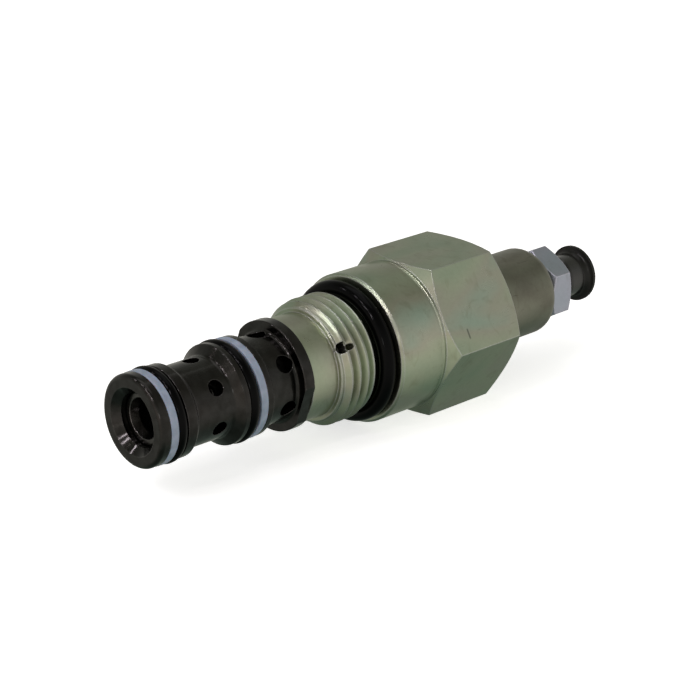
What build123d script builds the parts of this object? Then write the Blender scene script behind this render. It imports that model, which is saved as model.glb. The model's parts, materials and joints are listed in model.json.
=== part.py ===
from build123d import *
import os
from math import cos, pi, radians, tan

# A three-port screw-in cartridge valve with a screw-and-lock-nut pressure adjustment.
# The valve's axis is +X and the origin is where the axis meets the seating shoulder, so the
# nose that goes down the cavity is at negative x and the adjuster is at positive x.
# Two flats of the big hexagon face up and down. Angles are turned from +Z towards +Y.

# Screw-in thread, 7/8-14 UNF
THREAD_R = 25.4 * 7 / 8 / 2
THREAD_PITCH = 25.4 / 14
THREAD_DEPTH = 0.6134
THREAD_FLANK = 30
THREAD_ROOT_R = THREAD_R - THREAD_DEPTH * THREAD_PITCH
THREAD_START_X, THREAD_END_X = -9.6, -4.3

# Cage: the drilled nose sleeve
NOSE_X = -46.6
NOSE_R = 7.85
MOUTH_R = 5.72
BORE_R = 4.5
NOSE_GROOVE_X0, NOSE_GROOVE_X1 = -44.72, -41.3
NOSE_GROOVE_R = 6.2
NOSE_LAND_END_X = -39.5
NECK_1_R = 6.95
NECK_1_X0, NECK_1_X1 = -38.7, -31.4
MIDDLE_R = 8.6
MIDDLE_LAND_X0, MIDDLE_LAND_X1 = -30.2, -24.4
MIDDLE_GROOVE_X0, MIDDLE_GROOVE_X1 = -29.22, -25.58
MIDDLE_GROOVE_R = 6.65
NECK_2_R = 7.7
NECK_2_X0 = -23.8
FLANGE_X0, FLANGE_X1 = -18.5, -16.4
FLANGE_R = 9.6
FLANGE_FLAT = 8.87
FLANGE_FLAT_ANGLES = (-109.5, 70.5)
SHANK_R = 6.9
CAGE_END_X = -11.7
PORT_HOLE_ANGLES = [6 + 60 * k for k in range(6)]
FRONT_PORT_X, FRONT_PORT_R = -34.0, 1.4
REAR_PORT_X, REAR_PORT_R = -20.2, 1.55
CAGE_SEAL_X0, CAGE_SEAL_X1 = -15.6, -14.2
CAGE_SEAL_R = 5.9
NOSE_EDGE, GROOVE_EDGE, FLANGE_EDGE = 0.75, 0.1, 0.2
LAND_EDGE, NECK_FILLET, MIDDLE_FILLET, FLANGE_FILLET = 0.3, 0.4, 0.7, 0.6

# Adapter: the hexagon body that screws into the cavity
PLAIN_R = 9.15
CORE_R = SHANK_R + 1
PLAIN_END_X = -10.9
LEAD_IN_R = 9.85
UNDERCUT_R = 9.55
UNDERCUT_X = -3.9
UNDERCUT_FILLET = 0.3
COLLAR_R = 13.25
COLLAR_END_X = 9.9
COLLAR_EDGE = 0.4
HEX_AF = 27.0
HEX_X0, HEX_X1 = 10.4, 27.4
HEX_CHAMFER = 30
SPRING_CHAMBER_R = 6.0
SPRING_CHAMBER_END_X = 14.8
BONNET_BORE_R = 7.85
SHANK_CLEARANCE = 0.02
VENT_X, VENT_R, VENT_ANGLE = -9.9, 0.98, -58.7
PILOT_HOLE_X, PILOT_HOLE_R, PILOT_HOLE_ANGLE, PILOT_HOLE_END_R = -8.38, 0.54, -60, CORE_R

# Bonnet: the turned stem behind the hexagon
BONNET_R = 8.1
BONNET_END_X = 44.8
BONNET_EDGE = 2.1
BONNET_SHANK_R = 7.8
BONNET_SHANK_X0 = 15.0
BUTTON_BORE_R = 5.7
BUTTON_BORE_END_X = 38.6
BONNET_SEAL_X0, BONNET_SEAL_X1 = 23.6, 25.6
BONNET_SEAL_R = 6.8

# Spool and spring
SPOOL_R = BORE_R - 0.04
SPOOL_X0, SPOOL_X1 = -44.4, -13.6
SPOOL_MOUTH_R = 3.5
SPOOL_PORT_R = 2.92
SPOOL_PORT_END_X = -37.4
SPOOL_BORE_R = 2.2
SPOOL_BORE_END_X = -22.6
SPOOL_WAIST_R = 3.6
SPOOL_WAIST_X0, SPOOL_WAIST_X1, SPOOL_WAIST_SLOPE = -36.6, -32.2, 0.4
SPOOL_MOUTH_LENGTH = 1.4
SPOOL_EDGE = 0.25
SPOOL_HOLE_R = 1.1
SPOOL_HOLE_X = (FRONT_PORT_X, -24.9)
SPOOL_HOLE_ANGLES = (0, 90, 180, 270)
BLEED_R = 0.5
ORIFICE_R, ORIFICE_HOLE_R, ORIFICE_LENGTH, ORIFICE_GAP = 1.3, 0.35, 2.4, 0.1
SEAT_R = 5.4
SEAT_X0, SEAT_X1 = -11.6, -10.0
SEAT_NOSE_R, SEAT_HOLE_R = 3.9, 0.8
PILOT_R, PILOT_LENGTH, PILOT_EDGE = 3.3, 2.0, 0.5
SPRING_WIRE_R = 0.9
SPRING_MEAN_R = 4.4
SPRING_TURNS = 9
SPRING_END_GAP = 0.1

# Adjuster
BUTTON_R = BUTTON_BORE_R - 0.05
BUTTON_X0, BUTTON_X1 = 23.0, 30.0
BUTTON_GROOVE_X0, BUTTON_GROOVE_X1 = 25.4, 27.6
BUTTON_GROOVE_R = 4.4
BUTTON_RING_WIDTH = 0.8
SCREW_R = 25.4 * 5 / 16 / 2
SCREW_PITCH = 25.4 / 24
SCREW_ROOT_R = SCREW_R - THREAD_DEPTH * SCREW_PITCH
SCREW_HOLE_R = SCREW_R + 0.06
SCREW_X0 = 30.1
SCREW_NOSE_R, SCREW_NOSE_EDGE = 2.6, 0.6
RETAINER_X0, RETAINER_X1, RETAINER_R = 33.0, 33.8, 5.0
RETAINER_GAP = 0.1
RETAINER_SPLIT = 1.6
SCREW_THREAD_END_X, SCREW_END_X = 52.8, 57.2
SCREW_TAIL_R, SCREW_TAIL_EDGE = 3.1, 0.3
SCREW_CHAMFER = 0.5
SOCKET_AF, SOCKET_DEPTH = 4.0, 3.9
NUT_AF = 12.7
NUT_X0, NUT_X1 = 44.9, 50.35
NUT_FACE_R = 5.75
NUT_MOUTH_CHAMFER = 0.5
NUT_SEAL_R, NUT_SEAL_LENGTH = 4.9, 0.9
CAP_X0, CAP_RIM_X, CAP_X1 = 52.9, 57.5, 58.3
CAP_R, CAP_RIM_R = 4.02, 5.3
CAP_LIP_R, CAP_LIP_LENGTH = CAP_R - 0.1, 0.5
CAP_FLARE, CAP_RIM_EDGE = 1.2, 0.35
CAP_BORE_R, CAP_BORE_END_X = SCREW_TAIL_R + 0.05, 57.35

# Seals
NOSE_RING_OUTER_R, MIDDLE_RING_OUTER_R = 7.9, 8.64
NOSE_RING_WIDTH, MIDDLE_RING_WIDTH = 1.45, 1.42
NOSE_SEAL_OUTER_R, MIDDLE_SEAL_OUTER_R, SHOULDER_SEAL_OUTER_R = 8.12, 8.85, 12.5
SEAL_GAP = 0.02
SPLIT_WIDTH = 0.2
BACKUP_EDGE = 0.12


def turned(outline, rounds=()):
    """Solid of revolution about the axis from (x, radius) corners; rounds are (x, radius, size)."""
    face = make_face(Polyline(*outline, close=True))
    for x, r, size in rounds:
        face = fillet(face.vertices().sort_by_distance((x, r, 0))[0], size)
    return revolve(face, Axis.X)


def disc(x0, x1, r):
    """Plain cylinder on the axis from x0 to x1."""
    return Pos((x0 + x1) / 2, 0, 0) * Rot(0, 90, 0) * Cylinder(r, x1 - x0)


def tube(x0, x1, r_in, r_out):
    """Ring on the axis from x0 to x1."""
    return disc(x0, x1, r_out) - disc(x0 - 1, x1 + 1, r_in)


def cross_hole(x, r, angle, depth):
    """Drill that reaches from the axis out to depth, pointing at the given angle."""
    return Rot(-angle, 0, 0) * Pos(x, 0, depth / 2) * Cylinder(r, depth)


def hex_bar(af, x0, x1, corner_angle):
    """Hexagonal bar on the axis with a corner at corner_angle."""
    profile = RegularPolygon(af / 2 / cos(pi / 6), 6)
    bar = extrude(profile, x1 - x0)
    # The polygon's first corner is on the sketch's +X, which this turn takes to -Z.
    return Rot(180 - corner_angle, 0, 0) * Pos(x0, 0, 0) * Rot(0, 90, 0) * bar


def hexed(blank, af, x0, x1, corner_angle):
    """Mills six flats on the blank between x0 and x1."""
    waste = disc(x0, x1, af) - hex_bar(af, x0 - 1, x1 + 1, corner_angle)
    return blank - waste


def thread_groove(crest_r, root_r, pitch, x0, x1):
    """Right-hand V groove that is cut out of a bar to leave a 60 degree thread."""
    above = 0.25 * pitch
    depth = crest_r + above - root_r
    half_root = pitch / 8
    half_top = half_root + depth * tan(radians(THREAD_FLANK))
    path = Helix(pitch, x1 - x0, root_r)
    section = Plane(origin=path @ 0, x_dir=(1, 0, 0), z_dir=path % 0) * make_face(
        Polyline((0, -half_root), (depth, -half_top), (depth, half_top), (0, half_root), close=True))
    groove = sweep(section, path=path, is_frenet=True)
    return Pos(x0, 0, 0) * Rot(0, 90, 0) * groove


def threaded(envelope, crest_r, root_r, pitch, x0, x1):
    """Cuts a thread from x0 to x1 into a turned blank, by keeping what it shares with a grooved bar."""
    box = envelope.bounding_box()
    bar = disc(box.min.X - 2 * pitch, box.max.X + 2 * pitch, crest_r)
    return envelope & (bar - thread_groove(crest_r, root_r, pitch, x0, x1))


def o_ring(x, outer_r, section_r):
    """Round-section seal centred at x."""
    return Pos(x, 0, 0) * Rot(0, 90, 0) * Torus(outer_r - section_r, section_r)


def backup_ring(x0, width, r_in, r_out):
    """Flat plastic ring beside an O-ring, split underneath."""
    ring = turned([(x0, r_in), (x0, r_out), (x0 + width, r_out), (x0 + width, r_in)],
                  [(x0, r_out, BACKUP_EDGE), (x0 + width, r_out, BACKUP_EDGE)])
    split = Pos(x0 + width / 2, 0, -(r_in + r_out) / 2) * Box(2 * width, SPLIT_WIDTH, 2 * (r_out - r_in))
    return ring - split


def cage():
    """Drilled sleeve: nose land, two seal grooves, two rings of port holes and the wrench flange."""
    outline = [
        (NOSE_X, MOUTH_R), (NOSE_X, NOSE_R),
        (NOSE_GROOVE_X0, NOSE_R), (NOSE_GROOVE_X0, NOSE_GROOVE_R),
        (NOSE_GROOVE_X1, NOSE_GROOVE_R), (NOSE_GROOVE_X1, NOSE_R),
        (NOSE_LAND_END_X, NOSE_R), (NECK_1_X0, NECK_1_R),
        (NECK_1_X1, NECK_1_R), (MIDDLE_LAND_X0, MIDDLE_R),
        (MIDDLE_GROOVE_X0, MIDDLE_R), (MIDDLE_GROOVE_X0, MIDDLE_GROOVE_R),
        (MIDDLE_GROOVE_X1, MIDDLE_GROOVE_R), (MIDDLE_GROOVE_X1, MIDDLE_R),
        (MIDDLE_LAND_X1, MIDDLE_R), (NECK_2_X0, NECK_2_R),
        (FLANGE_X0, NECK_2_R), (FLANGE_X0, FLANGE_R),
        (FLANGE_X1, FLANGE_R), (FLANGE_X1, SHANK_R),
        (CAGE_SEAL_X0, SHANK_R), (CAGE_SEAL_X0, CAGE_SEAL_R),
        (CAGE_SEAL_X1, CAGE_SEAL_R), (CAGE_SEAL_X1, SHANK_R),
        (CAGE_END_X, SHANK_R), (CAGE_END_X, BORE_R),
        (NOSE_X + MOUTH_R - BORE_R, BORE_R),
    ]
    rounds = [
        (NOSE_X, NOSE_R, NOSE_EDGE), (NOSE_GROOVE_X0, NOSE_R, GROOVE_EDGE),
        (NOSE_GROOVE_X1, NOSE_R, GROOVE_EDGE), (NOSE_LAND_END_X, NOSE_R, LAND_EDGE),
        (NECK_1_X0, NECK_1_R, NECK_FILLET), (NECK_1_X1, NECK_1_R, MIDDLE_FILLET),
        (MIDDLE_LAND_X0, MIDDLE_R, LAND_EDGE), (MIDDLE_GROOVE_X0, MIDDLE_R, GROOVE_EDGE),
        (MIDDLE_GROOVE_X1, MIDDLE_R, GROOVE_EDGE), (MIDDLE_LAND_X1, MIDDLE_R, LAND_EDGE),
        (NECK_2_X0, NECK_2_R, NECK_FILLET), (FLANGE_X0, NECK_2_R, FLANGE_FILLET),
        (FLANGE_X0, FLANGE_R, FLANGE_EDGE), (FLANGE_X1, FLANGE_R, FLANGE_EDGE),
    ]
    sleeve = turned(outline, rounds)
    for x, r in ((FRONT_PORT_X, FRONT_PORT_R), (REAR_PORT_X, REAR_PORT_R)):
        for angle in PORT_HOLE_ANGLES:
            sleeve -= cross_hole(x, r, angle, FLANGE_R)
    waste = Box(FLANGE_X1 - FLANGE_X0 + 2 * FLANGE_EDGE, 2 * FLANGE_R, FLANGE_R)
    for angle in FLANGE_FLAT_ANGLES:
        sleeve -= Rot(-angle, 0, 0) * Pos((FLANGE_X0 + FLANGE_X1) / 2, 0, FLANGE_FLAT + FLANGE_R / 2) * waste
    return sleeve


def cavity_thread():
    """The adapter's threaded stretch, as a ring over its core."""
    outline = [
        (PLAIN_END_X, CORE_R), (PLAIN_END_X, LEAD_IN_R), (THREAD_START_X, THREAD_R),
        (THREAD_END_X, THREAD_R), (UNDERCUT_X, UNDERCUT_R), (UNDERCUT_X, CORE_R),
    ]
    run_out = 0.5 * THREAD_PITCH
    return threaded(turned(outline), THREAD_R, THREAD_ROOT_R, THREAD_PITCH,
                    PLAIN_END_X - run_out, UNDERCUT_X + run_out)


def adapter():
    """Threaded hexagon body: plain front, 7/8-14 thread, seal undercut, round collar, hexagon."""
    corner_r = HEX_AF / 2 / cos(pi / 6)
    slope = tan(radians(HEX_CHAMFER))
    outline = [
        (FLANGE_X1 + SHANK_CLEARANCE, SHANK_R + SHANK_CLEARANCE),
        (FLANGE_X1 + SHANK_CLEARANCE, PLAIN_R), (PLAIN_END_X, PLAIN_R), (PLAIN_END_X, CORE_R),
        (UNDERCUT_X, CORE_R), (UNDERCUT_X, UNDERCUT_R), (0, UNDERCUT_R),
        (0, COLLAR_R - COLLAR_EDGE), (COLLAR_EDGE, COLLAR_R),
        (COLLAR_END_X, COLLAR_R), (HEX_X0, COLLAR_R), (HEX_X0 + (corner_r - COLLAR_R) * slope, corner_r),
        (HEX_X1 - (corner_r - HEX_AF / 2) * slope, corner_r), (HEX_X1, HEX_AF / 2),
        (HEX_X1, BONNET_BORE_R), (SPRING_CHAMBER_END_X, BONNET_BORE_R),
        (SPRING_CHAMBER_END_X, SPRING_CHAMBER_R), (CAGE_END_X + SHANK_CLEARANCE, SPRING_CHAMBER_R),
        (CAGE_END_X + SHANK_CLEARANCE, SHANK_R + SHANK_CLEARANCE),
    ]
    blank = turned(outline, [(0, UNDERCUT_R, UNDERCUT_FILLET)]) + cavity_thread()
    body = hexed(blank, HEX_AF, COLLAR_END_X, HEX_X1 + 1, 90)
    body -= cross_hole(VENT_X, VENT_R, VENT_ANGLE, THREAD_R)
    pilot_hole = cross_hole(PILOT_HOLE_X, PILOT_HOLE_R, PILOT_HOLE_ANGLE, THREAD_R + 1)
    floor = disc(PILOT_HOLE_X - 1, PILOT_HOLE_X + 1, PILOT_HOLE_END_R)
    return body - (pilot_hole - floor)


def bonnet():
    """Round stem that closes the spring chamber and carries the adjusting screw."""
    outline = [
        (BONNET_SHANK_X0, BUTTON_BORE_R), (BONNET_SHANK_X0, BONNET_SHANK_R),
        (BONNET_SEAL_X0, BONNET_SHANK_R), (BONNET_SEAL_X0, BONNET_SEAL_R),
        (BONNET_SEAL_X1, BONNET_SEAL_R), (BONNET_SEAL_X1, BONNET_SHANK_R),
        (HEX_X1 + SHANK_CLEARANCE, BONNET_SHANK_R), (HEX_X1 + SHANK_CLEARANCE, BONNET_R),
        (BONNET_END_X, BONNET_R), (BONNET_END_X, SCREW_HOLE_R),
        (BUTTON_BORE_END_X, SCREW_HOLE_R), (BUTTON_BORE_END_X, BUTTON_BORE_R),
    ]
    return turned(outline, [(BONNET_END_X, BONNET_R, BONNET_EDGE)])


def spool():
    """Hollow sliding spool: front port, axial bore, two rows of cross holes and a drain bleed."""
    rear_bore_r = ORIFICE_R + SHANK_CLEARANCE
    rear_bore_end_x = SPOOL_X1 - ORIFICE_LENGTH - 2 * ORIFICE_GAP
    outline = [
        (SPOOL_X0, SPOOL_MOUTH_R), (SPOOL_X0, SPOOL_R),
        (SPOOL_WAIST_X0, SPOOL_R), (SPOOL_WAIST_X0 + SPOOL_WAIST_SLOPE, SPOOL_WAIST_R),
        (SPOOL_WAIST_X1 - SPOOL_WAIST_SLOPE, SPOOL_WAIST_R), (SPOOL_WAIST_X1, SPOOL_R),
        (SPOOL_X1, SPOOL_R), (SPOOL_X1, rear_bore_r),
        (rear_bore_end_x, rear_bore_r), (rear_bore_end_x, BLEED_R),
        (SPOOL_BORE_END_X, BLEED_R), (SPOOL_BORE_END_X, SPOOL_BORE_R),
        (SPOOL_PORT_END_X, SPOOL_BORE_R), (SPOOL_PORT_END_X, SPOOL_PORT_R),
        (SPOOL_X0 + SPOOL_MOUTH_LENGTH, SPOOL_PORT_R),
    ]
    body = turned(outline, [(SPOOL_X0, SPOOL_R, SPOOL_EDGE)])
    for x in SPOOL_HOLE_X:
        for angle in SPOOL_HOLE_ANGLES:
            body -= cross_hole(x, SPOOL_HOLE_R, angle, SPOOL_R + 1)
    return body


def damping_orifice():
    """Jet plug in the spool's tail that slows its movement."""
    end_x = SPOOL_X1 - ORIFICE_GAP
    return tube(end_x - ORIFICE_LENGTH, end_x, ORIFICE_HOLE_R, ORIFICE_R)


def spring_seat():
    """Flanged cup between the spool and the spring, drilled through for the bleed."""
    outline = [
        (SPOOL_X1 + SHANK_CLEARANCE, SEAT_HOLE_R), (SPOOL_X1 + SHANK_CLEARANCE, SEAT_NOSE_R),
        (SEAT_X0, SEAT_NOSE_R),
        (SEAT_X0, SEAT_R), (SEAT_X1, SEAT_R), (SEAT_X1, PILOT_R),
        (SEAT_X1 + PILOT_LENGTH, PILOT_R), (SEAT_X1 + PILOT_LENGTH, SEAT_HOLE_R),
    ]
    return turned(outline, [(SEAT_X1 + PILOT_LENGTH, PILOT_R, PILOT_EDGE)])


def main_spring():
    """Compression spring with ground ends."""
    x0, x1 = SEAT_X1 + SPRING_END_GAP, BUTTON_X0 - SPRING_END_GAP
    pitch = (x1 - x0) / SPRING_TURNS
    path = Helix(pitch, x1 - x0, SPRING_MEAN_R)
    section = Plane(origin=path @ 0, x_dir=(1, 0, 0), z_dir=path % 0) * Circle(SPRING_WIRE_R)
    coil = Pos(x0, 0, 0) * Rot(0, 90, 0) * sweep(section, path=path, is_frenet=True)
    return coil & disc(x0, x1, SPRING_CHAMBER_R)


def spring_button():
    """Piston that the adjusting screw pushes against the spring."""
    outline = [
        (BUTTON_X0 - PILOT_LENGTH, 0), (BUTTON_X0 - PILOT_LENGTH, PILOT_R), (BUTTON_X0, PILOT_R),
        (BUTTON_X0, BUTTON_R), (BUTTON_GROOVE_X0, BUTTON_R), (BUTTON_GROOVE_X0, BUTTON_GROOVE_R),
        (BUTTON_GROOVE_X1, BUTTON_GROOVE_R), (BUTTON_GROOVE_X1, BUTTON_R),
        (BUTTON_X1, BUTTON_R), (BUTTON_X1, 0),
    ]
    return turned(outline, [(BUTTON_X0 - PILOT_LENGTH, PILOT_R, PILOT_EDGE)])


def adjusting_screw():
    """Threaded stem with a pressure nose, a ring groove, a plain tail and a hexagon socket."""
    shoulder_x = RETAINER_X1 + RETAINER_GAP
    outline = [
        (SCREW_X0, 0), (SCREW_X0, SCREW_NOSE_R), (shoulder_x, SCREW_NOSE_R),
        (shoulder_x, SCREW_R), (SCREW_THREAD_END_X - SCREW_CHAMFER, SCREW_R),
        (SCREW_THREAD_END_X, SCREW_TAIL_R), (SCREW_END_X, SCREW_TAIL_R), (SCREW_END_X, 0),
    ]
    rounds = [(SCREW_X0, SCREW_NOSE_R, SCREW_NOSE_EDGE), (SCREW_END_X, SCREW_TAIL_R, SCREW_TAIL_EDGE)]
    stem = turned(outline, rounds)
    stem = threaded(stem, SCREW_R, SCREW_ROOT_R, SCREW_PITCH,
                    BONNET_END_X - 2 * SCREW_PITCH, SCREW_THREAD_END_X + 0.5 * SCREW_PITCH)
    return stem - hex_bar(SOCKET_AF, SCREW_END_X - SOCKET_DEPTH, SCREW_END_X + 1, 0)


def screw_retaining_ring():
    """Split ring on the screw's inner end that stops it from backing out."""
    ring = tube(RETAINER_X0, RETAINER_X1, SCREW_NOSE_R + SHANK_CLEARANCE, RETAINER_R)
    return ring - Pos(RETAINER_X0, 0, -RETAINER_R) * Box(RETAINER_R, RETAINER_SPLIT, 2 * RETAINER_R)


def lock_nut():
    """Hexagon jam nut, chamfered both sides, with a seat for its thread seal."""
    corner_r = NUT_AF / 2 / cos(pi / 6)
    slope = tan(radians(HEX_CHAMFER))
    chamfer = (corner_r - NUT_FACE_R) * slope
    pocket_end_x = NUT_X0 + NUT_SEAL_LENGTH + SEAL_GAP
    outline = [
        (NUT_X0, NUT_SEAL_R + SEAL_GAP), (NUT_X0, NUT_FACE_R), (NUT_X0 + chamfer, corner_r),
        (NUT_X1 - chamfer, corner_r), (NUT_X1, NUT_FACE_R),
        (NUT_X1, SCREW_HOLE_R + NUT_MOUTH_CHAMFER), (NUT_X1 - NUT_MOUTH_CHAMFER, SCREW_HOLE_R),
        (pocket_end_x, SCREW_HOLE_R), (pocket_end_x, NUT_SEAL_R + SEAL_GAP),
    ]
    return hexed(turned(outline), NUT_AF, NUT_X0 - 1, NUT_X1 + 1, 0)


def nut_seal_ring():
    """Rubber ring that the nut carries round the screw."""
    return tube(NUT_X0, NUT_X0 + NUT_SEAL_LENGTH, SCREW_HOLE_R, NUT_SEAL_R)


def dust_cap():
    """Push-on cap over the screw's tail, flared to a rim that a finger can pull."""
    outline = [
        (CAP_X0, CAP_BORE_R), (CAP_X0, CAP_LIP_R), (CAP_X0 + CAP_LIP_LENGTH, CAP_R), (CAP_RIM_X, CAP_R),
        (CAP_RIM_X, CAP_RIM_R), (CAP_X1, CAP_RIM_R), (CAP_X1, 0), (CAP_BORE_END_X, 0),
        (CAP_BORE_END_X, CAP_BORE_R),
    ]
    return turned(outline, [(CAP_RIM_X, CAP_R, CAP_FLARE), (CAP_X1, CAP_RIM_R, CAP_RIM_EDGE)])


def seals():
    """The seals and backup rings, by node name."""
    nose_seal_x0 = NOSE_GROOVE_X0 + NOSE_RING_WIDTH + 2 * SEAL_GAP
    nose_section = (NOSE_GROOVE_X1 - nose_seal_x0) / 2 - SEAL_GAP
    middle_ring_x0 = MIDDLE_GROOVE_X1 - MIDDLE_RING_WIDTH - SEAL_GAP
    middle_section = (middle_ring_x0 - MIDDLE_GROOVE_X0) / 2 - SEAL_GAP
    shoulder_section = (SHOULDER_SEAL_OUTER_R - UNDERCUT_R - SEAL_GAP) / 2
    cage_section = (SHANK_R - CAGE_SEAL_R) / 2
    bonnet_section = (BONNET_SHANK_R - BONNET_SEAL_R) / 2
    button_section = (BUTTON_R - BUTTON_GROOVE_R) / 2
    return {
        "nose_backup_ring": backup_ring(
            NOSE_GROOVE_X0 + SEAL_GAP, NOSE_RING_WIDTH, NOSE_GROOVE_R + SEAL_GAP, NOSE_RING_OUTER_R),
        "nose_o_ring": o_ring(
            (nose_seal_x0 + NOSE_GROOVE_X1) / 2, NOSE_SEAL_OUTER_R, nose_section),
        "middle_o_ring": o_ring(
            (MIDDLE_GROOVE_X0 + middle_ring_x0) / 2, MIDDLE_SEAL_OUTER_R, middle_section),
        "middle_backup_ring": backup_ring(
            middle_ring_x0, MIDDLE_RING_WIDTH, MIDDLE_GROOVE_R + SEAL_GAP, MIDDLE_RING_OUTER_R),
        "shoulder_o_ring": o_ring(
            -shoulder_section - SEAL_GAP, SHOULDER_SEAL_OUTER_R, shoulder_section),
        "cage_o_ring": o_ring((CAGE_SEAL_X0 + CAGE_SEAL_X1) / 2, SHANK_R, cage_section),
        "bonnet_o_ring": o_ring((BONNET_SEAL_X0 + BONNET_SEAL_X1) / 2, BONNET_SHANK_R, bonnet_section),
        "button_o_ring": o_ring(
            BUTTON_GROOVE_X0 + button_section + SEAL_GAP, BUTTON_R, button_section),
        "button_backup_ring": tube(
            BUTTON_GROOVE_X1 - BUTTON_RING_WIDTH, BUTTON_GROOVE_X1 - SEAL_GAP, BUTTON_GROOVE_R, BUTTON_R),
    }


def main():
    parts = {
        "cage": cage(), "adapter": adapter(), "bonnet": bonnet(), "spool": spool(),
        "damping_orifice": damping_orifice(), "spring_seat": spring_seat(),
        "main_spring": main_spring(), "spring_button": spring_button(),
        "adjusting_screw": adjusting_screw(), "screw_retaining_ring": screw_retaining_ring(),
        "lock_nut": lock_nut(), "nut_seal_ring": nut_seal_ring(), "dust_cap": dust_cap(),
    }
    parts.update(seals())
    os.makedirs("parts", exist_ok=True)
    for name, shape in parts.items():
        shape.label = name
        export_step(shape, f"parts/{name}.step")


main()
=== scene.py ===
import json
import math

import bmesh
import bpy
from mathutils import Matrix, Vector


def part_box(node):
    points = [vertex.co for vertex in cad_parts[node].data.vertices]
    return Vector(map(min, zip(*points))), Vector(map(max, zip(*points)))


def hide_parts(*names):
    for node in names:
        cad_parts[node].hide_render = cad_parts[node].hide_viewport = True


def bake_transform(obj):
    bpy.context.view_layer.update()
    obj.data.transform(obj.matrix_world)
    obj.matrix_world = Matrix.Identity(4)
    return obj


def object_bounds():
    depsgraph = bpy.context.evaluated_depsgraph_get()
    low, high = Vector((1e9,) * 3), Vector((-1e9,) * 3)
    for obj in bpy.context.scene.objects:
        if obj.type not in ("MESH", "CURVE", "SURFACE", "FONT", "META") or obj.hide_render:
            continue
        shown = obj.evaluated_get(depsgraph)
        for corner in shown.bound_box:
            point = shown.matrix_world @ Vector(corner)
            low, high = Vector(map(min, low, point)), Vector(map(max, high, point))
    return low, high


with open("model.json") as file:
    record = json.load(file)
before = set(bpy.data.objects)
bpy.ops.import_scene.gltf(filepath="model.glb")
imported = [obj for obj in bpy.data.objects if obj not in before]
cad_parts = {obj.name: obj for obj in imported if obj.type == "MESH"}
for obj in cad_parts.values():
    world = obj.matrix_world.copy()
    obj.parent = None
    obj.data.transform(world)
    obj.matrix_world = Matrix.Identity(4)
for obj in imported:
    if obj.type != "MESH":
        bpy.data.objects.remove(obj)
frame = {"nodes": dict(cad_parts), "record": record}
cad_low, cad_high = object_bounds()

MM = 0.001

# The photograph's viewpoint, worked out from the valve's own circles and edges; angles in degrees
VIEW_AZIMUTH, VIEW_ELEVATION = -42.6, 21.68
VIEW_DISTANCE = 342.5 * MM
VIEW_TARGET = Vector((-0.03, -0.10, -0.23)) * MM
LENS, SENSOR = 102.35, 36.0
CLIP_NEAR, CLIP_FAR = 0.01, 20.0

# The valve rests on a flat of its hexagon, so every flat is this far from the axis
HEX_FLAT_R = -cad_low[2]

# A handling mark on the flat that faces the viewer, placed along the axis and down that flat from its middle
NICK_FLAT_ANGLE = math.radians(-60)
NICK_X, NICK_DOWN = 14.9 * MM, 4.55 * MM
NICK_LENGTH, NICK_WIDTH = 2.1 * MM, 0.45 * MM
NICK_COLOUR, NICK_STRENGTH = (0.07, 0.08, 0.07), 0.65

# The small radius between the collar and the hexagon's chamfer, and how far it leans the normal
COLLAR_END_X = 9.9 * MM
RADIUS_WIDTH = 0.7 * MM
RADIUS_LEAN = 1.3

# Where the dust cap starts to flare, and how soon its reflection is fully turned down there as painted shade
CAP_FLARE_X, CAP_FLARE_FADE = 55.6 * MM, 1.0 * MM

# The Mix node's sockets for colours
MIX_FACTOR, MIX_FIRST, MIX_SECOND, MIX_RESULT = 0, 6, 7, 2

WHITE = (1.0, 1.0, 1.0)
PINK = (1.0, 0.92, 1.0)

FLOOR_SIZE = 6.0
FLOOR_GLOW = 0.66
WALL_SIDES = 96

# Lamps in a row stand where 45-degree turned faces mirror them to the camera. The angles, in degrees, say
# which way those faces look round the axis, from straight up towards the viewer
EDGE_SLOPE = math.radians(45)
COLLAR_ROW = {"angles": (20, 28, 35, 42), "distance": 0.88, "size": 0.07, "power": 0.33}
NOSE_ROW = {"angles": (8, 33, 43), "distance": 0.85, "size": 0.045, "power": 0.25}
SIDE_LAMP = {"place_at": (-0.74, -0.56, 0.21), "size": 0.12, "power": 0.2}
OVERHEAD_BOX = {"place_at": (0.1, 0.2, 1.2), "size": 1.0, "power": 2.4}


# ---------------------------------------------------------------- node helpers

def add(tree, kind, inputs=None, **settings):
    """Adds one shader node; an input is a plain value or another node's output."""
    node = tree.nodes.new("ShaderNode" + kind)
    for key, value in settings.items():
        setattr(node, key, value)
    for key, value in (inputs or {}).items():
        if isinstance(value, bpy.types.NodeSocket):
            tree.links.new(value, node.inputs[key])
        else:
            node.inputs[key].default_value = value
    return node


def new_material(name):
    """An empty material and its principled shader."""
    material = bpy.data.materials.new(name)
    material.use_nodes = True
    tree = material.node_tree
    return material, tree, tree.nodes["Principled BSDF"]


def place(tree, scale=(1, 1, 1)):
    """Coordinates in the valve's frame, in metres, stretched by scale."""
    coords = add(tree, "TexCoord").outputs["Object"]
    return add(tree, "Mapping", {"Vector": coords, "Scale": scale}).outputs["Vector"]


def noise(tree, size, stretch=(1, 1, 1), detail=3.0, roughness=0.5, distortion=0.0):
    """Noise whose features are about size metres across before the stretch."""
    vector = place(tree, [s / size for s in stretch])
    return add(tree, "TexNoise", {"Vector": vector, "Scale": 1.0, "Detail": detail,
                                  "Roughness": roughness, "Distortion": distortion}).outputs["Fac"]


def ramp(tree, fac, stops):
    """Colour ramp from (position, colour) stops."""
    node = add(tree, "ValToRGB", {"Fac": fac})
    elements = node.color_ramp.elements
    while len(elements) < len(stops):
        elements.new(0.5)
    for element, (position, colour) in zip(elements, stops):
        element.position = position
        element.color = (*colour, 1.0)
    return node.outputs["Color"]


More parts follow.
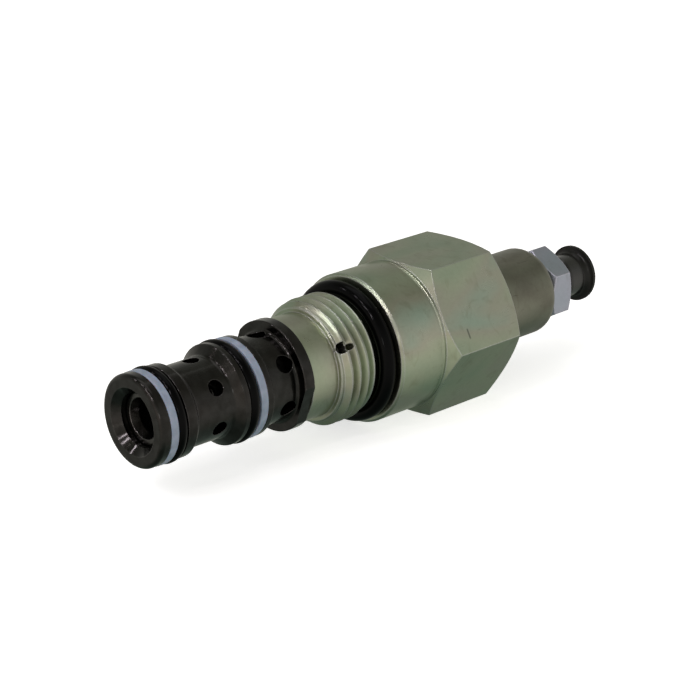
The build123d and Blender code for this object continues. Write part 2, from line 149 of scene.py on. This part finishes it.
def span(tree, value, low, high, to_low=0.0, to_high=1.0):
    """Maps a value from one range to another, clamped."""
    return add(tree, "MapRange", {"Value": value, "From Min": low, "From Max": high,
                                  "To Min": to_low, "To Max": to_high}).outputs["Result"]


def mix(tree, fac, a, b, blend="MIX"):
    """Mixes two colours."""
    node = add(tree, "Mix", data_type="RGBA", blend_type=blend)
    for index, value in ((MIX_FACTOR, fac), (MIX_FIRST, a), (MIX_SECOND, b)):
        if isinstance(value, bpy.types.NodeSocket):
            tree.links.new(value, node.inputs[index])
        else:
            node.inputs[index].default_value = value if index == MIX_FACTOR else (*value, 1.0)
    return node.outputs[MIX_RESULT]


def maths(tree, operation, a, b=0.0):
    """One arithmetic step."""
    node = add(tree, "Math", operation=operation)
    for index, value in enumerate((a, b)):
        if isinstance(value, bpy.types.NodeSocket):
            tree.links.new(value, node.inputs[index])
        else:
            node.inputs[index].default_value = value
    return node.outputs[0]


def edge_wear_and_highlight(tree, radius):
    """The rounded normal at sharp edges, and a mask that is 1 on them, used to lighten edges as wear and as
    painted highlight.
    """
    bevel = add(tree, "Bevel", {"Radius": radius}, samples=4).outputs["Normal"]
    normal = add(tree, "NewGeometry").outputs["Normal"]
    dot = add(tree, "VectorMath", operation="DOT_PRODUCT")
    tree.links.new(bevel, dot.inputs[0])
    tree.links.new(normal, dot.inputs[1])
    return bevel, span(tree, dot.outputs["Value"], 0.999, 0.93)


def along_axis(tree):
    """How far along the valve's axis a point is, in metres."""
    return add(tree, "SeparateXYZ", {"Vector": place(tree)}).outputs["X"]


def bump(tree, height, distance, normal=None):
    """Bump from a height between 0 and 1 that is distance metres deep."""
    inputs = {"Height": height, "Distance": distance, "Strength": 1.0}
    if normal is not None:
        inputs["Normal"] = normal
    return add(tree, "Bump", inputs).outputs["Normal"]


# ---------------------------------------------------------------- materials

def scratches(tree, size, stretch):
    """Mask of thin marks about size metres wide, long where stretch is small, and only in some patches."""
    marks = noise(tree, size, stretch, detail=2.0, roughness=0.4)
    patches = noise(tree, 5 * MM, detail=2.0)
    return maths(tree, "MULTIPLY", span(tree, marks, 0.68, 0.72), span(tree, patches, 0.45, 0.6))


def nick(tree, centre, along, length, width):
    """Mask of one short mark with soft ends and sides, centred and directed in the valve's frame."""
    coords = add(tree, "TexCoord").outputs["Object"]
    offset = add(tree, "VectorMath", {0: coords, 1: centre}, operation="SUBTRACT").outputs["Vector"]
    lengthways = add(tree, "VectorMath", {0: offset, 1: along}, operation="DOT_PRODUCT").outputs["Value"]
    run = maths(tree, "ABSOLUTE", lengthways)
    reach = add(tree, "VectorMath", {0: offset}, operation="LENGTH").outputs["Value"]
    square = maths(tree, "SUBTRACT", maths(tree, "POWER", reach, 2.0), maths(tree, "POWER", run, 2.0))
    across = maths(tree, "SQRT", maths(tree, "MAXIMUM", square, 0.0))
    ends = span(tree, run, length / 2, 0.35 * length)
    return maths(tree, "MULTIPLY", ends, span(tree, across, width / 2, 0.3 * width))


def oily_film(tree, shader, weight, smooth):
    """A patchy clear coat over the surface's smooth normal."""
    film = noise(tree, 1.6 * MM, detail=3.0)
    tree.links.new(span(tree, film, 0.35, 0.65, 0.5 * weight, weight), shader.inputs["Coat Weight"])
    tree.links.new(bump(tree, film, 0.006 * MM, smooth), shader.inputs["Coat Normal"])
    shader.inputs["Coat Roughness"].default_value = 0.12
    shader.inputs["Coat IOR"].default_value = 1.6


def plated_steel(name, tones, wear_and_highlight_tone, roughness, turning, mottle=0.5, edge=0.2 * MM, wear_and_highlight_mix=0.6,
                 marks=0.5, brushed=0.0, oil=0.0):
    """Plated, oxidised or bare turned metal, with drifting tints, stains, turning rings and edges lightened
    by wear and painted highlight.

    turning is the rings' depth and edge is the width of the lightened edges, both in metres. brushed is how
    far the rings stretch a highlight across them, and oil is the weight of a clear film.
    """
    material, tree, shader = new_material(name)
    drift = noise(tree, 9 * MM, (0.6, 1, 1), detail=1.5, distortion=0.3)
    colour = ramp(tree, span(tree, drift, 0.3, 0.7), [
        (k / (len(tones) - 1), tone) for k, tone in enumerate(tones)])
    speckle = noise(tree, 0.7 * MM, detail=5.0, roughness=0.65)
    shade = ramp(tree, speckle, [(0.3, (0.78,) * 3), (0.7, WHITE)])
    colour = mix(tree, mottle, colour, shade, "MULTIPLY")
    stain = noise(tree, 2.6 * MM, (1, 0.7, 0.7), detail=2.0, distortion=1.2)
    colour = mix(tree, span(tree, stain, 0.56, 0.74, 0.0, 0.35), colour, (0.62, 0.58, 0.5), "MULTIPLY")
    nicks = maths(tree, "MULTIPLY", scratches(tree, 0.3 * MM, (0.1, 1, 1)), marks)
    colour = mix(tree, nicks, colour, tuple(0.45 * c for c in tones[0]))
    smooth, edges = edge_wear_and_highlight(tree, edge)
    # Sharp edges are lightened towards the edge tone: partly worn bare metal, partly a painted highlight.
    colour = mix(tree, maths(tree, "MULTIPLY", edges, wear_and_highlight_mix), colour, wear_and_highlight_tone)
    rings = noise(tree, 0.12 * MM, (1, 0.01, 0.01), detail=4.0, roughness=0.6)
    grain = noise(tree, 0.25 * MM, detail=4.0, roughness=0.6)
    smudge = noise(tree, 4 * MM, detail=4.0)
    shine = maths(tree, "ADD", span(tree, smudge, 0.3, 0.7, roughness - 0.05, roughness + 0.06),
                  span(tree, grain, 0.3, 0.7, -0.03, 0.03))
    normal = bump(tree, rings, turning, smooth)
    normal = bump(tree, grain, 0.002 * MM, normal)
    tree.links.new(colour, shader.inputs["Base Color"])
    tree.links.new(shine, shader.inputs["Roughness"])
    tree.links.new(normal, shader.inputs["Normal"])
    shader.inputs["Metallic"].default_value = 1.0
    if brushed:
        around = add(tree, "Tangent", direction_type="RADIAL", axis="X").outputs["Tangent"]
        tree.links.new(around, shader.inputs["Tangent"])
        shader.inputs["Anisotropic"].default_value = brushed
        shader.inputs["Anisotropic Rotation"].default_value = 0.25
    if oil:
        oily_film(tree, shader, oil, smooth)
    return material


def rubber():
    """Smooth black seal rubber with an oily film and a little dust."""
    material, tree, shader = new_material("seal_rubber")
    film = noise(tree, 3 * MM, detail=4.0)
    dust = noise(tree, 0.2 * MM, detail=6.0, roughness=0.7)
    colour = mix(tree, span(tree, dust, 0.62, 0.75, 0.0, 0.3), (0.001, 0.001, 0.0012), (0.01, 0.01, 0.009))
    tree.links.new(colour, shader.inputs["Base Color"])
    tree.links.new(span(tree, film, 0.3, 0.7, 0.09, 0.18), shader.inputs["Roughness"])
    tree.links.new(bump(tree, dust, 0.0015 * MM), shader.inputs["Normal"])
    shader.inputs["Specular IOR Level"].default_value = 0.075
    return material


def ptfe():
    """Pale blue-white backup ring plastic, slightly waxy."""
    material, tree, shader = new_material("ptfe")
    cloud = noise(tree, 1.5 * MM, detail=4.0)
    colour = ramp(tree, span(tree, cloud, 0.3, 0.7), [(0.0, (0.25, 0.31, 0.41)), (1.0, (0.38, 0.43, 0.55))])
    tree.links.new(colour, shader.inputs["Base Color"])
    tree.links.new(span(tree, cloud, 0.3, 0.7, 0.42, 0.55), shader.inputs["Roughness"])
    smooth, _ = edge_wear_and_highlight(tree, 0.1 * MM)
    tree.links.new(bump(tree, cloud, 0.01 * MM, smooth), shader.inputs["Normal"])
    shader.inputs["Subsurface Weight"].default_value = 0.15
    shader.inputs["Subsurface Scale"].default_value = 0.5 * MM
    return material


def moulded_cap():
    """Glossy black moulded plastic with faint handling marks; on the flared rim its reflection is turned
    down as painted shade.
    """
    material, tree, shader = new_material("black_plastic")
    smear = noise(tree, 2.5 * MM, (1, 0.5, 0.5), detail=4.0)
    grain = noise(tree, 0.3 * MM, detail=4.0)
    colour = ramp(tree, smear, [(0.3, (0.009, 0.009, 0.008)), (0.7, (0.017, 0.017, 0.015))])
    # The flared rim reflects less: a painted shade that darkens it.
    gloss_with_rim_shade = span(tree, along_axis(tree), CAP_FLARE_X, CAP_FLARE_X + CAP_FLARE_FADE, 0.5, 0.12)
    tree.links.new(colour, shader.inputs["Base Color"])
    tree.links.new(gloss_with_rim_shade, shader.inputs["Specular IOR Level"])
    tree.links.new(span(tree, smear, 0.3, 0.7, 0.14, 0.26), shader.inputs["Roughness"])
    tree.links.new(bump(tree, grain, 0.002 * MM), shader.inputs["Normal"])
    shader.inputs["Coat Weight"].default_value = 0.12
    shader.inputs["Coat Roughness"].default_value = 0.1
    return material


def add_nick(tree, shader):
    """Darkens the handling mark on the flat that faces the viewer."""
    outwards = Vector((0, math.sin(NICK_FLAT_ANGLE), math.cos(NICK_FLAT_ANGLE)))
    down = Vector((0, -math.cos(NICK_FLAT_ANGLE), math.sin(NICK_FLAT_ANGLE)))
    centre = Vector((NICK_X, 0, 0)) + HEX_FLAT_R * outwards + NICK_DOWN * down
    mark = maths(tree, "MULTIPLY", nick(tree, centre, down, NICK_LENGTH, NICK_WIDTH), NICK_STRENGTH)
    clean = shader.inputs["Base Color"].links[0].from_socket
    tree.links.new(mix(tree, mark, clean, NICK_COLOUR), shader.inputs["Base Color"])


def round_collar_end(tree, shader):
    """Leans the normal towards the nose over the last stretch of the collar, as a small radius would."""
    along = along_axis(tree)
    rise = span(tree, along, COLLAR_END_X - RADIUS_WIDTH, COLLAR_END_X, 0.0, -RADIUS_LEAN)
    tilt = maths(tree, "MULTIPLY", rise, maths(tree, "LESS_THAN", along, COLLAR_END_X))
    lean = add(tree, "CombineXYZ", {"X": tilt}).outputs["Vector"]
    upright = shader.inputs["Normal"].links[0].from_socket
    turned = add(tree, "VectorMath", {0: upright, 1: lean}, operation="ADD").outputs["Vector"]
    rounded = add(tree, "VectorMath", {0: turned}, operation="NORMALIZE").outputs["Vector"]
    tree.links.new(rounded, shader.inputs["Normal"])


def zinc_body():
    """The hexagon body's olive zinc, with a handling mark and a small radius where collar meets hexagon."""
    material = plated_steel(
        "zinc_plate",
        tones=[(0.33, 0.4, 0.29), (0.38, 0.42, 0.31), (0.385, 0.39, 0.31), (0.335, 0.415, 0.335)],
        wear_and_highlight_tone=(0.72, 0.7, 0.76), roughness=0.33, turning=0.002 * MM,
        mottle=0.35, edge=0.3 * MM, wear_and_highlight_mix=0.5, marks=0.25)
    tree = material.node_tree
    shader = tree.nodes["Principled BSDF"]
    add_nick(tree, shader)
    round_collar_end(tree, shader)
    return material


def stem_zinc():
    """The bonnet's duller, browner zinc."""
    return plated_steel(
        "zinc_plate_dark",
        tones=[(0.165, 0.155, 0.12), (0.245, 0.24, 0.195), (0.2, 0.205, 0.16), (0.15, 0.145, 0.115)],
        wear_and_highlight_tone=(0.3, 0.3, 0.27), roughness=0.36, turning=0.002 * MM, mottle=0.5, edge=0.15 * MM)


def nut_zinc():
    """The lock nut's bluer, cleaner zinc."""
    return plated_steel(
        "nut_zinc",
        tones=[(0.38, 0.42, 0.49), (0.45, 0.45, 0.54), (0.4, 0.45, 0.51)],
        wear_and_highlight_tone=(0.85, 0.8, 0.92), roughness=0.4, turning=0.002 * MM,
        mottle=0.3, edge=0.3 * MM, marks=0.0)


def black_oxide():
    """The cage's oiled black oxide, with deep turning rings."""
    return plated_steel(
        "black_oxide",
        tones=[(0.013, 0.013, 0.011), (0.02, 0.018, 0.016), (0.016, 0.016, 0.014)],
        wear_and_highlight_tone=(0.15, 0.14, 0.14), roughness=0.2, turning=0.008 * MM,
        mottle=0.6, edge=0.15 * MM, brushed=0.75, oil=0.4)


def hardened_steel():
    """Dark, oiled, hardened steel of the sliding pieces."""
    return plated_steel(
        "hardened_steel",
        tones=[(0.035, 0.033, 0.03), (0.058, 0.054, 0.05)],
        wear_and_highlight_tone=(0.2, 0.19, 0.19), roughness=0.2, turning=0.01 * MM, brushed=0.75, oil=0.5)


def bare_steel(name, tones, roughness):
    """Plain grey steel, nearly without turning rings."""
    return plated_steel(name, tones, wear_and_highlight_tone=(0.5, 0.5, 0.5), roughness=roughness, turning=0.001 * MM)


def brass():
    """Turned brass of the damping jet."""
    return plated_steel(
        "brass_jet", tones=[(0.55, 0.4, 0.16), (0.68, 0.5, 0.22)],
        wear_and_highlight_tone=(0.8, 0.65, 0.35), roughness=0.28, turning=0.002 * MM)


def make_materials():
    """One material for each of the record's slots."""
    return {
        "black_oxide": black_oxide(),
        "zinc_plate": zinc_body(),
        "zinc_plate_dark": stem_zinc(),
        "hardened_steel": hardened_steel(),
        "spring_steel": bare_steel("spring_steel", [(0.2, 0.2, 0.2), (0.28, 0.27, 0.25)], 0.35),
        "screw_steel": bare_steel("screw_steel", [(0.2, 0.21, 0.22), (0.28, 0.28, 0.28)], 0.32),
        "nut_zinc": nut_zinc(),
        "brass_jet": brass(),
        "seal_rubber": rubber(),
        "ptfe": ptfe(),
        "black_plastic": moulded_cap(),
    }


def dress(materials):
    """Gives every CAD node the material of its slot."""
    for entry in frame["record"]["subparts"]:
        node = frame["nodes"][entry["node"]]
        node.data.materials.clear()
        node.data.materials.append(materials[entry["material_slot"]])


def half_spring(source, middle, front):
    """A mesh of the spring's front or rear half, closed where it is cut."""
    shape = bmesh.new()
    shape.from_mesh(source.data)
    shape.transform(source.matrix_world)
    bmesh.ops.bisect_plane(shape, geom=shape.verts[:] + shape.edges[:] + shape.faces[:], plane_co=middle,
                           plane_no=(1, 0, 0), clear_outer=front, clear_inner=not front)
    bmesh.ops.holes_fill(shape, edges=[edge for edge in shape.edges if edge.is_boundary])
    mesh = bpy.data.meshes.new("main_spring_front" if front else "main_spring_rear")
    shape.to_mesh(mesh)
    shape.free()
    return mesh


def give_spring(material):
    """The main spring cut at mid-length into a front and a rear half, which stand in for the whole spring.
    """
    source = frame["nodes"]["main_spring"]
    low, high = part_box("main_spring")
    middle = Vector(((low[0] + high[0]) / 2, 0, 0))
    for front, bearing, end in ((True, "spool", low[0]), (False, "spring_button", high[0])):
        mesh = half_spring(source, middle, front)
        mesh.materials.append(material)
        piece = bpy.data.objects.new(mesh.name, mesh)
        bpy.context.scene.collection.objects.link(piece)
        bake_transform(piece)
        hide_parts("main_spring")


# ---------------------------------------------------------------- studio

def make_floor():
    """Plain pale floor under the valve, lit to paper white and left out of reflections and bounced light."""
    bpy.ops.mesh.primitive_plane_add(size=FLOOR_SIZE, location=(0, 0, cad_low[2]))
    floor = bpy.context.object
    floor.name = "studio_floor"
    material, tree, shader = new_material("studio_floor")
    cloud = noise(tree, 0.4, detail=2.0)
    tree.links.new(ramp(tree, cloud, [(0.3, (0.93,) * 3), (0.7, (0.95,) * 3)]), shader.inputs["Base Color"])
    shader.inputs["Roughness"].default_value = 0.9
    shader.inputs["Emission Color"].default_value = (*WHITE, 1.0)
    shader.inputs["Emission Strength"].default_value = FLOOR_GLOW
    floor.data.materials.append(material)
    floor.visible_glossy = False
    floor.visible_diffuse = False


def make_backdrop():
    """A pale wall far round the floor, seen by the camera alone."""
    bpy.ops.mesh.primitive_cylinder_add(vertices=WALL_SIDES, radius=FLOOR_SIZE / 2, depth=2 * FLOOR_SIZE,
                                        end_fill_type="NOTHING")
    wall = bpy.context.object
    wall.name = "studio_wall"
    material, tree, shader = new_material("studio_wall")
    cloud = noise(tree, 1.5, detail=2.0)
    shade = ramp(tree, cloud, [(0.3, (0.93,) * 3), (0.7, (0.96,) * 3)])
    tree.links.new(shade, shader.inputs["Emission Color"])
    shader.inputs["Base Color"].default_value = (0.0, 0.0, 0.0, 1.0)
    shader.inputs["Specular IOR Level"].default_value = 0.0
    shader.inputs["Emission Strength"].default_value = 1.0
    wall.data.materials.append(material)
    wall.visible_glossy = False
    wall.visible_diffuse = False
    wall.visible_transmission = False
    wall.visible_shadow = False


def make_world():
    """Soft surround: brightest near the horizon, ahead of the nose and on the viewer's side."""
    world = bpy.data.worlds.new("studio")
    world.use_nodes = True
    tree = world.node_tree
    direction = add(tree, "TexCoord").outputs["Generated"]
    parts = add(tree, "SeparateXYZ", {"Vector": direction}).outputs
    sky = ramp(tree, span(tree, parts["Z"], -1.0, 1.0), [
        (0.0, (0.13, 0.17, 0.14)), (0.12, (0.23, 0.29, 0.25)), (0.19, (0.46, 0.48, 0.42)),
        (0.32, (0.74, 0.73, 0.68)), (0.48, (0.83, 0.8, 0.75)), (0.7, (0.63, 0.63, 0.6)),
        (0.86, (0.34, 0.34, 0.29)), (1.0, (0.2, 0.2, 0.19))])
    ahead = ramp(tree, span(tree, parts["X"], -1.0, -0.75), [(0.0, (1.3, 1.22, 1.18)), (1.0, WHITE)])
    far_side = ramp(tree, span(tree, parts["Y"], -0.3, 0.7), [(0.0, WHITE), (1.0, (0.6, 0.61, 0.59))])
    glow = mix(tree, 1.0, mix(tree, 1.0, sky, far_side, "MULTIPLY"), ahead, "MULTIPLY")
    tree.links.new(glow, tree.nodes["Background"].inputs["Color"])
    tree.nodes["Background"].inputs["Strength"].default_value = 1.0
    bpy.context.scene.world = world


def viewing_direction():
    """The unit vector from the camera's target back to the camera."""
    azimuth, elevation = math.radians(VIEW_AZIMUTH), math.radians(VIEW_ELEVATION)
    level = math.cos(elevation)
    return Vector((math.sin(azimuth) * level, -math.cos(azimuth) * level, math.sin(elevation)))


def area_light(name, place_at, size, power, tint=WHITE):
    """Square soft box aimed at the valve."""
    data = bpy.data.lights.new(name, "AREA")
    data.size, data.energy, data.color = size, power, tint
    light = bpy.data.objects.new(name, data)
    bpy.context.scene.collection.objects.link(light)
    light.location = place_at
    light.rotation_euler = (-Vector(place_at)).to_track_quat("-Z", "Y").to_euler()


def lamp_row(name, start, angles, distance, size, power):
    """Small lamps that turned faces near start mirror to the camera, one for each angle round the axis."""
    camera_at = VIEW_TARGET + viewing_direction() * VIEW_DISTANCE
    to_camera = (camera_at - start).normalized()
    for number, angle in enumerate(angles):
        turn = math.radians(angle)
        radial = Vector((0, -math.sin(turn), math.cos(turn)))
        normal = math.cos(EDGE_SLOPE) * radial - Vector((math.sin(EDGE_SLOPE), 0, 0))
        to_lamp = 2 * normal.dot(to_camera) * normal - to_camera
        area_light(f"{name}_{number}", start + distance * to_lamp, size, power, PINK)


def make_lights():
    """Two rows of small lamps above the nose end, one beside the camera and a wide dim soft box overhead."""
    lamp_row("upper", Vector((0, 0, 0)), **COLLAR_ROW)
    lamp_row("lower", Vector((cad_low[0], 0, 0)), **NOSE_ROW)
    area_light("side", **SIDE_LAMP)
    area_light("overhead", **OVERHEAD_BOX)


def make_camera():
    """Camera at the photograph's viewpoint."""
    data = bpy.data.cameras.new("camera")
    data.lens, data.sensor_width = LENS, SENSOR
    data.clip_start, data.clip_end = CLIP_NEAR, CLIP_FAR
    camera = bpy.data.objects.new("camera", data)
    bpy.context.scene.collection.objects.link(camera)
    back = viewing_direction()
    camera.location = VIEW_TARGET + back * VIEW_DISTANCE
    camera.rotation_euler = (-back).to_track_quat("-Z", "Y").to_euler()
    bpy.context.scene.camera = camera


make_camera()
make_floor()
make_backdrop()
make_world()
make_lights()
finishes = make_materials()
dress(finishes)
give_spring(finishes["spring_steel"])
bpy.context.scene.view_settings.view_transform = "Standard"
